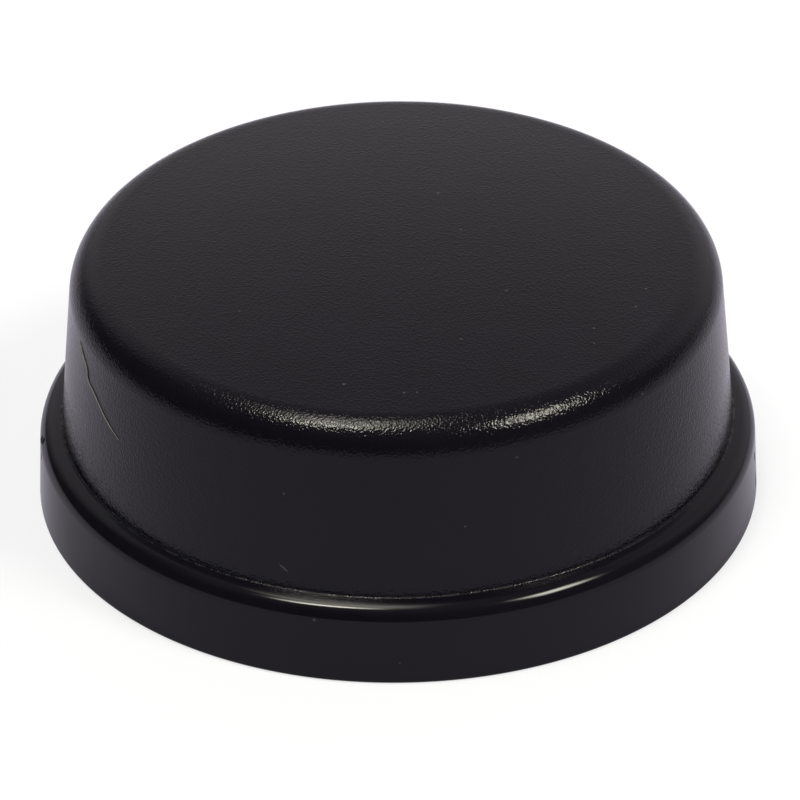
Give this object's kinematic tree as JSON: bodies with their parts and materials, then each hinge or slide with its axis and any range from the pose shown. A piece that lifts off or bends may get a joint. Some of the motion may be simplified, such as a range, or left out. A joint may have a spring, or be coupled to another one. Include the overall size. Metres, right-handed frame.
{
  "type": "hub cap",
  "caption": "Round moulded plastic hub cap with a shallow domed top, a tall leaning wall and a short skirt under a narrow ledge, which presses over a wheel hub's collar.",
  "frame": {"origin": "centre of the rim's flat end face, on the cap's axis", "axes": "+Z along the cap's axis from the open rim to the closed, slightly domed top; X and Y lie across the round cap, and -Y is the side that the picture shows"},
  "size_m": [0.06, 0.06, 0.0238],
  "materials": {
    "cap_plastic": "black moulded polypropylene: fine spark-eroded grain on the top, crown and tall wall, and a smoother, glossier ledge and skirt"
  },
  "bodies": {
    "root": {"hub_cap": "cap_plastic"}
  },
  "joints": []
}
